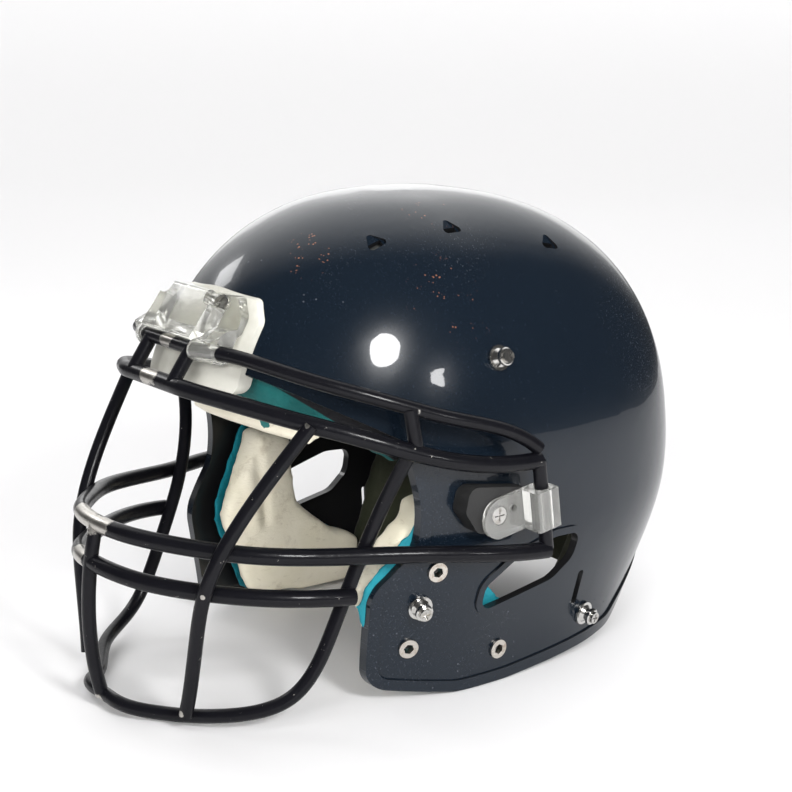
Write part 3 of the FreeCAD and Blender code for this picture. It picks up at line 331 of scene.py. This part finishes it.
def shell_paint():
    m = Mat("shell_paint")
    m.set(IOR=1.5, Coat_Weight=0.45, Coat_Roughness=0.03, Specular_IOR_Level=0.18)
    facing = m.node("ShaderNodeVectorMath", operation="SUBTRACT")
    m.link(m.where, facing.inputs[0])
    facing.inputs[1].default_value = HEAD_CENTRE
    unit = m.node("ShaderNodeVectorMath", operation="NORMALIZE")
    m.link(facing.outputs["Vector"], unit.inputs[0])
    dot = m.node("ShaderNodeVectorMath", operation="DOT_PRODUCT")
    m.link(unit.outputs["Vector"], dot.inputs[0])
    m.link(m.node("ShaderNodeNewGeometry").outputs["Normal"], dot.inputs[1])
    outside = m.ramp(dot.outputs["Value"], 0.05, 0.45)
    tone = m.mix(m.noise(7.0, 3.0), (0.0034, 0.0070, 0.0125), (0.0056, 0.0102, 0.0172))
    flecks = m.ramp(m.noise(950.0, 2.0), 0.62, 0.78)
    tone = m.mix(m.math("MULTIPLY", flecks, 0.10), tone, (0.10, 0.13, 0.20))
    # Long fine scratches in three directions, and patches of light scuffing.
    lines = []
    for turn, limit in (((0.3, 0.9, 0.4), 0.700), ((1.2, -0.3, 1.1), 0.705), ((-0.5, 0.9, 2.2), 0.705)):
        streak = m.noise(28.0, 1.0, 0.5, (1.0, 34.0, 34.0), turn, 0.15)
        lines.append(m.ramp(streak, limit, limit + 0.05))
    scratch = m.math("MULTIPLY", m.most(lines), m.ramp(m.noise(9.0, 2.0), 0.50, 0.64))
    speck_dots = m.ramp(m.cells(160.0), 0.10, 0.05)
    specks = m.math("MULTIPLY", speck_dots, m.ramp(m.noise(16.0, 3.0), 0.57, 0.66))
    scuff_grain = m.ramp(m.noise(220.0, 5.0, 0.7), 0.60, 0.72)
    scuff = m.math("MULTIPLY", scuff_grain, m.ramp(m.noise(5.0, 3.0), 0.58, 0.72))
    marks = m.most([
        m.math("MULTIPLY", scratch, 0.32),
        m.math("MULTIPLY", specks, 0.6),
        m.math("MULTIPLY", scuff, 0.12),
    ])
    tone = m.mix(m.math("MULTIPLY", marks, 0.40), tone, (0.26, 0.28, 0.32))
    rubs = []
    for place, size in RUB_MARKS:
        rubs.append(m.near(place, 0.25 * size, size))
    fine_dots = m.ramp(m.cells(520.0), 0.30, 0.22)
    dots = m.math("MULTIPLY", fine_dots, m.ramp(m.noise(120.0, 3.0, 0.6), 0.56, 0.62))
    rub = m.math("MULTIPLY", m.most(rubs), dots)
    tone = m.mix(m.math("MULTIPLY", rub, 0.55), tone, (0.40, 0.16, 0.09))
    m.color(m.mix(outside, (0.010, 0.010, 0.011), tone))
    glossy = m.mix_value(marks, 0.24, 0.5)
    m.rough(m.mix_value(outside, 0.55, glossy))
    m.bump(m.noise(5.0, 2.0), 0.10, 0.004)
    m.bump(marks, 0.25, 0.0002)
    return m.material


# Bare steel on the mask: a middle, the sure wear and its ragged edge. The last seven are
# chips at welds.
WORN_SPOTS = [
    ((0.0, -0.1310, 0.1895), 0.002, 0.012),
    ((0.0, -0.1428, 0.1715), 0.002, 0.013),
    ((-0.012, -0.1765, 0.1025), 0.006, 0.022),
    ((0.008, -0.1800, 0.1020), 0.004, 0.016),
    ((-0.014, -0.1805, 0.0800), 0.004, 0.018),
    ((0.0, -0.1767, 0.0020), 0.002, 0.010),
    ((0.0885, -0.1065, 0.1580), 0.0006, 0.0036),
    ((-0.0885, -0.1065, 0.1580), 0.0006, 0.0036),
    ((0.0680, -0.1440, 0.0950), 0.0004, 0.0024),
    ((0.0665, -0.1530, 0.0745), 0.0004, 0.0024),
    ((0.0525, -0.1580, 0.0100), 0.0006, 0.0034),
    ((0.1100, -0.0555, 0.1620), 0.0006, 0.0034),
]


def mask_coat():
    """Black powder coat, worn to bare steel where the bars stand furthest out."""
    m = Mat("mask_coat")
    m.set(IOR=1.5, Coat_Weight=0.18, Coat_Roughness=0.10, Specular_IOR_Level=0.11)
    wear = []
    for place, inner, outer in WORN_SPOTS:
        wear.append(m.near(place, inner, outer))
    ragged = m.ragged(m.most(wear), 170.0, 6.0, 1.6)
    chips = m.ramp(m.noise(330.0, 4.0, 0.65), 0.70, 0.73)
    bare = m.math("MAXIMUM", m.ramp(ragged, 0.55, 0.72), m.math("MULTIPLY", chips, 0.8))
    coat = m.mix(m.noise(60.0, 3.0), (0.0030, 0.0030, 0.0044), (0.0066, 0.0066, 0.0088))
    steel = m.mix(m.noise(400.0, 3.0), (0.34, 0.32, 0.29), (0.62, 0.60, 0.56))
    m.color(m.mix(bare, coat, steel))
    m.link(bare, m.shader.inputs["Metallic"])
    m.rough(m.mix_value(bare, m.mix_value(m.noise(140.0, 3.0), 0.24, 0.40), 0.36))
    m.bump(m.noise(900.0, 2.0), 0.15, 0.0003)
    m.bump(m.noise(230.0, 4.0, 0.6), 0.35, 0.0006)
    m.bump(m.math("MULTIPLY", bare, -1.0), 0.35, 0.0003)
    return m.material


def steel(name, tone=(0.62, 0.61, 0.59), rough=(0.18, 0.36), tint=(0.42, 0.39, 0.34)):
    m = Mat(name)
    m.set(Metallic=1.0)
    stain = m.ramp(m.noise(240.0, 5.0, 0.65), 0.48, 0.70)
    m.color(m.mix(m.math("MULTIPLY", stain, 0.7), tone, tint))
    m.rough(m.mix_value(stain, rough[0], rough[1]))
    m.bump(m.noise(1400.0, 3.0, 0.6), 0.15, 0.0002)
    m.bump(m.noise(300.0, 3.0, 0.6), 0.15, 0.0003)
    return m.material


def clear_plastic(name, tone, cloud, weight=0.55):
    """Slightly cloudy clear plastic."""
    m = Mat(name)
    m.set(IOR=1.46, Transmission_Weight=weight, Coat_Weight=0.3, Coat_Roughness=0.08)
    haze = m.ramp(m.noise(70.0, 4.0), 0.35, 0.70)
    m.color(m.mix(haze, tone, cloud))
    m.rough(m.mix_value(haze, 0.05, 0.16))
    m.bump(m.noise(260.0, 4.0, 0.6), 0.12, 0.0004)
    scratches = m.noise(60.0, 2.0, 0.6, (0.06, 3.0, 3.0), (0.4, 0.3, 0.9))
    m.bump(m.ramp(scratches, 0.72, 0.76), 0.2, 0.0002)
    return m.material


def moulded(name, low, high, rough=(0.35, 0.55), grain=700.0, strength=0.15):
    m = Mat(name)
    m.set(IOR=1.48)
    blot = m.noise(45.0, 4.0)
    m.color(m.mix(m.ramp(blot, 0.35, 0.65), low, high))
    m.rough(m.mix_value(m.noise(180.0, 4.0), rough[0], rough[1]))
    m.bump(m.noise(grain, 3.0), strength, 0.0003)
    return m.material


TORN_COLOR = (0.02, 0.17, 0.16)


def soft_cover(name, low, high, stain, tears=()):
    """A creased, stained foam cover that shows its backing's colour where it is torn. Its crease
    hollows are painted darker in the stain colour, as painted shade.
    """
    m = Mat(name)
    m.set(IOR=1.45, Sheen_Weight=0.08, Sheen_Roughness=0.5)
    tone = m.mix(m.ramp(m.noise(26.0, 4.0), 0.35, 0.68), low, high)
    tone = m.mix(m.math("MULTIPLY", m.ramp(m.noise(60.0, 6.0, 0.7), 0.55, 0.75), 0.55), tone, stain)
    crease = m.noise(120.0, 5.0, 0.65, (1.0, 1.0, 2.4), (0.2, 0.1, 0.3), 0.8)
    # Painted shade: the colour darkens towards the stain colour in the hollows of the crease bumps.
    tone = m.mix(m.math("MULTIPLY", m.ramp(crease, 0.42, 0.30), 0.30), tone, stain)
    if tears:
        close = m.most([m.near(place, inner, outer) for place, inner, outer in tears])
        gap = m.ramp(m.ragged(close, 150.0, 5.0, 1.5), 0.62, 0.68)
        tone = m.mix(gap, tone, TORN_COLOR)
        m.bump(m.math("MULTIPLY", gap, -1.0), 0.6, 0.0010)
    m.color(tone)
    m.rough(m.mix_value(m.noise(90.0, 4.0), 0.50, 0.78))
    m.bump(crease, 0.5, 0.0010)
    m.bump(m.noise(900.0, 3.0), 0.12, 0.0003)
    return m.material


# Painted shade on the brow backing: above this line the teal is painted black for the shade under the
# shell's brow rim. The line's slope along Y, and its level.
BROW_SHADE_LINE = (0.78, 0.0918)
PAINTED_SHADE_COLOR = (0.006, 0.006, 0.008)
SHADE_LINE_BLUR = 0.0003


def cell_foam(name, low, high, shade_line=None):
    """Moulded foam with a skin of small cells, painted black above its shade line as painted shade."""
    m = Mat(name)
    m.set(IOR=1.45)
    cell = m.cells(420.0)
    tone = m.mix(m.ramp(m.noise(35.0, 5.0), 0.35, 0.65), low, high)
    if shade_line:
        slope, level = shade_line
        height = m.math("ADD", m.axis(2), m.math("MULTIPLY", m.axis(1), slope))
        # Painted shade: the foam's colour turns black above the line, for the shade under the brow rim.
        shaded_above_line = m.ramp(height, level - SHADE_LINE_BLUR, level + SHADE_LINE_BLUR)
        tone = m.mix(shaded_above_line, tone, PAINTED_SHADE_COLOR)
    m.color(tone)
    m.rough(m.mix_value(m.noise(200.0, 3.0), 0.55, 0.80))
    m.bump(m.ramp(cell, 0.1, 0.6), 0.30, 0.0006)
    m.bump(m.noise(90.0, 4.0), 0.25, 0.0010)
    return m.material


# ------------------------------------------------------------------ soft pieces

# Where the brow pad's cover is torn: a point, the sure tear and its ragged edge.
TORN_BROW = [
    ((0.0221, -0.1028, 0.1613), 0.002, 0.009),
    ((0.0355, -0.0967, 0.1453), 0.001, 0.007),
]

def apply_modifiers(piece):
    """The piece's mesh with its modifiers worked in."""
    graph = bpy.context.evaluated_depsgraph_get()
    made = bpy.data.meshes.new_from_object(piece.evaluated_get(graph))
    piece.modifiers.clear()
    old = piece.data
    piece.data = made
    bpy.data.meshes.remove(old)


def tree_of(names):
    """One search tree of several CAD nodes' meshes."""
    points = []
    faces = []
    for name in names:
        mesh = nodes[name].data
        start = len(points)
        points.extend(v.co.copy() for v in mesh.vertices)
        for polygon in mesh.polygons:
            faces.append([start + k for k in polygon.vertices])
    return BVHTree.FromPolygons(points, faces)


def smooth_fall(value, low, high):
    """0 below low, 1 above high, and smooth between."""
    t = min(1.0, max(0.0, (value - low) / (high - low)))
    return t * t * (3.0 - 2.0 * t)


def held_weights(mesh, against):
    """How firmly each vertex is held: 1 where it rests on a neighbour, 0 away from it."""
    near = tree_of(against)
    weights = []
    for vertex in mesh.vertices:
        gap = SEARCH_REACH
        hit = near.find_nearest(vertex.co, SEARCH_REACH)
        if hit[0] is not None:
            gap = (hit[0] - vertex.co).length
        weights.append(1.0 - smooth_fall(gap, HELD_WITHIN, FREE_BEYOND))
    return weights


SEARCH_REACH = 0.02
HELD_WITHIN = 0.003
FREE_BEYOND = 0.007
CLOTH_FRAMES = 20
CLOTH_PRESSURE = 4.0


def swell(piece, hold, cap):
    """Cloth under pressure, held by weight and kept within cap of where it starts."""
    mesh = piece.data
    start = [v.co.copy() for v in mesh.vertices]
    group = piece.vertex_groups.new(name="hold")
    for index, weight in enumerate(hold):
        if weight > 0.01:
            group.add([index], weight, "REPLACE")
    cloth = piece.modifiers.new("cloth", "CLOTH")
    settings = cloth.settings
    settings.quality = 4
    settings.mass = 0.3
    settings.use_pressure = True
    settings.uniform_pressure_force = CLOTH_PRESSURE
    settings.effector_weights.gravity = 0.0
    settings.tension_stiffness = 12.0
    settings.compression_stiffness = 12.0
    settings.shear_stiffness = 6.0
    settings.bending_stiffness = 0.6
    settings.vertex_group_mass = "hold"
    cloth.collision_settings.use_self_collision = False
    cloth.point_cache.frame_start = 1
    cloth.point_cache.frame_end = CLOTH_FRAMES
    scene = bpy.context.scene
    for number in range(1, CLOTH_FRAMES + 1):
        scene.frame_set(number)
    graph = bpy.context.evaluated_depsgraph_get()
    moved = piece.evaluated_get(graph).to_mesh()
    target = [v.co.copy() for v in moved.vertices]
    piece.evaluated_get(graph).to_mesh_clear()
    piece.modifiers.clear()
    piece.vertex_groups.clear()
    scene.frame_set(1)
    for index, vertex in enumerate(mesh.vertices):
        step = target[index] - start[index]
        limit = cap * (1.0 - hold[index])
        if step.length > limit:
            step = step * (limit / step.length)
        vertex.co = start[index] + step


def soft_piece(name, node, body, material, voxel, against, shrink=0.0012, cap=0.0035,
               grooves=()):
    """A padded piece swollen from a CAD solid, held where it rests on its neighbours."""
    mesh = nodes[node].data.copy()
    mesh.materials.clear()
    piece = bpy.data.objects.new(name, mesh)
    bpy.context.scene.collection.objects.link(piece)
    remesh = piece.modifiers.new("remesh", "REMESH")
    remesh.mode = "VOXEL"
    remesh.voxel_size = voxel
    relax = piece.modifiers.new("relax", "SMOOTH")
    relax.factor = 0.5
    relax.iterations = 3
    apply_modifiers(piece)
    mesh = piece.data
    mesh.update()
    normals = [v.normal.copy() for v in mesh.vertices]
    for vertex, normal in zip(mesh.vertices, normals):
        vertex.co -= normal * shrink
    swell(piece, held_weights(mesh, against), cap)
    for groove in grooves:
        groove(mesh)
    mesh.update()
    mesh.materials.append(material)
    smoothing = piece.modifiers.new("subdivide", "SUBSURF")
    smoothing.levels = 1
    smoothing.render_levels = 1
    apply_modifiers(piece)
    for polygon in piece.data.polygons:
        polygon.use_smooth = True
    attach(piece, body)
    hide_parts(node)


def channel(point, normal, depth, width, reach=None):
    """A sewn channel: the head's side sinks along a plane through a point."""
    point = Vector(point)
    normal = Vector(normal).normalized()
    towards = Vector(HEAD_CENTRE)

    def press(mesh):
        mesh.update()
        normals = [v.normal.copy() for v in mesh.vertices]
        for vertex, facing in zip(mesh.vertices, normals):
            away = abs((vertex.co - point).dot(normal))
            if away > width:
                continue
            inward = towards - vertex.co
            if inward.dot(facing) <= 0.0:
                continue
            if reach is not None and not reach(vertex.co):
                continue
            sink = depth * (0.5 + 0.5 * math.cos(math.pi * away / width))
            vertex.co -= facing * sink
    return press


def reach_forward(amount, start, full):
    """The pad's front edge reaches further forward between two Y positions."""

    def stretch(mesh):
        for vertex in mesh.vertices:
            vertex.co.y -= amount * smooth_fall(-vertex.co.y, -start, -full)
    return stretch


# ------------------------------------------------------------------ build

def use(material, *names):
    """A CAD node keeps its shape and gets a better material."""
    for name in names:
        if not nodes[name].material_slots:
            nodes[name].data.materials.append(material)
        for slot in nodes[name].material_slots:
            slot.link = "OBJECT"
            slot.material = material


def dress_hard_pieces():
    mask = [name for name in nodes if name.startswith("mask_")]
    use(shell_paint(), "shell")
    use(mask_coat(), *mask)
    plate = moulded("white_bumper", (0.50, 0.49, 0.43), (0.63, 0.62, 0.56), (0.38, 0.6))
    use(plate, "nose_bumper")
    side_clear = clear_plastic("side_clear", (0.90, 0.90, 0.87), (0.84, 0.84, 0.80), 0.88)
    use(side_clear, "side_clip_left", "side_clip_right")
    rubber = moulded("black_rubber", (0.012, 0.012, 0.012), (0.022, 0.022, 0.022), (0.5, 0.7))
    use(rubber, "side_clip_spacer_left", "side_clip_spacer_right")
    use(steel("snap_steel"), "chin_snap_washers", "chin_snap_studs")
    screws = steel("screw_steel", (0.55, 0.54, 0.52), (0.22, 0.42))
    use(screws, "chin_snap_screws", "side_clip_screws", "front_clip_screws")
    inserts = steel("insert_metal", (0.66, 0.62, 0.56), (0.30, 0.5), (0.45, 0.36, 0.28))
    use(inserts, "jaw_pad_sockets", "shell_nuts")
    pins = moulded("pin_black", (0.02, 0.02, 0.02), (0.035, 0.035, 0.035))
    use(pins, "jaw_pad_pins_left", "jaw_pad_pins_right")


def dress_front_clip():
    """The clip's block, and its flexible loops between the helmet and the mask, copied as they are in
    the CAD.
    """
    clear = clear_plastic("front_clear", (0.90, 0.90, 0.86), (0.78, 0.78, 0.72), 0.92)
    use(clear, "front_clip")
    for side, sign in SIDES:
        node = "front_clip_loop_" + side
        loop = bpy.data.objects.new("clip_loop_" + side, nodes[node].data.copy())
        bpy.context.scene.collection.objects.link(loop)
        loop.data.materials.clear()
        loop.data.materials.append(clear)
        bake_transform(loop)
        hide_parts(node)


ACROSS = (1.0, 0.0, 0.0)
ALONG = (0.0, 1.0, 0.0)
UPRIGHT = (0.0, 0.0, 1.0)
LINER_CHANNEL = (0.004, 0.007)


def add_liner():
    # The nape and side cushions are cream covers painted dark olive, as painted shade: the colour they
    # show in the helmet's shadow.
    cream_shade_tones = (0.030, 0.034, 0.020), (0.052, 0.056, 0.034), (0.014, 0.015, 0.010)
    cream_in_painted_shade = soft_cover("cream_in_painted_shade", *cream_shade_tones)
    black = (0.030, 0.032, 0.030), (0.050, 0.052, 0.050), (0.015, 0.015, 0.015)
    dark_cover = soft_cover("dark_cover", *black)
    soft_piece("crown_cushion", "crown_liner", "helmet", dark_cover, 0.006, ["shell"],
               grooves=[channel((0.0, 0.0, 0.2), ACROSS, *LINER_CHANNEL),
                        channel((0.0, 0.022, 0.2), ALONG, *LINER_CHANNEL)])
    soft_piece("back_cushion", "back_liner", "helmet", dark_cover, 0.007, ["shell"],
               grooves=[channel((0.0, 0.1, 0.1), ACROSS, *LINER_CHANNEL),
                        channel((0.0, 0.1, 0.125), UPRIGHT, *LINER_CHANNEL)])
    soft_piece("nape_cushion", "nape_pad", "helmet", cream_in_painted_shade, 0.006, ["shell"],
               grooves=[channel((0.035, 0.1, 0.05), ACROSS, *LINER_CHANNEL),
                        channel((-0.035, 0.1, 0.05), ACROSS, *LINER_CHANNEL)])
    for side, _ in SIDES:
        soft_piece("side_cushion_" + side, "side_liner_" + side, "helmet", cream_in_painted_shade,
                   0.005, ["shell"])


def add_brow_pads():
    # The brow teal is painted black along its top, as painted shade under the shell's rim.
    teal = cell_foam("teal_foam", (0.003, 0.085, 0.082), (0.010, 0.150, 0.145), BROW_SHADE_LINE)
    cream = (0.84, 0.78, 0.61), (0.93, 0.87, 0.72), (0.46, 0.38, 0.26)
    cream_front = soft_cover("cream_front", *cream, TORN_BROW)
    soft_piece("brow_backing", "front_liner", "helmet", teal, 0.004, ["shell"],
               0.0004, 0.0012)
    soft_piece("brow_cushion", "front_pad", "helmet", cream_front, 0.0045,
               ["front_liner"])


# How far each jaw pad's backing and cover stand forward of their CAD solids at the front
# edge, and where along Y the stretch starts and is full.
JAW_REACH = {"left": (0.0105, 0.0055), "right": (-0.0075, -0.0085)}
JAW_STRETCH = (-0.010, -0.050)
JAW_LEAN = (0.0, 1.0, 0.18)  # across the rib and the welt on a jaw pad


def add_jaw_pads():
    teal_edge = cell_foam("teal_edge", (0.004, 0.170, 0.220), (0.012, 0.240, 0.300))
    cream = (0.88, 0.82, 0.64), (0.95, 0.89, 0.73), (0.52, 0.44, 0.30)
    cream_jaw = soft_cover("cream_jaw", *cream)
    for side, sign in SIDES:
        base = "jaw_pad_base_" + side
        backing_reach, cover_reach = JAW_REACH[side]
        soft_piece("jaw_backing_" + side, base, "jaw_pad_" + side, teal_edge,
                   0.0035, ["shell"], 0.0015, 0.0010, [reach_forward(backing_reach, *JAW_STRETCH)])
        rib = channel((0.08 * sign, -0.0335, 0.075), JAW_LEAN, 0.0022, 0.0065,
                      reach=lambda point: point.z > 0.050)
        welt = channel((0.08 * sign, -0.0440, 0.075), JAW_LEAN, -0.0016, 0.0060,
                       reach=lambda point: point.z > 0.046)
        soft_piece("jaw_cushion_" + side, "jaw_pad_cover_" + side, "jaw_pad_" + side, cream_jaw,
                   0.0040, [base], -0.0008, 0.0032,
                   [rib, welt, reach_forward(cover_reach, *JAW_STRETCH)])


add_camera()
add_floor()
add_light()
dress_hard_pieces()
dress_front_clip()
add_liner()
add_brow_pads()
add_jaw_pads()
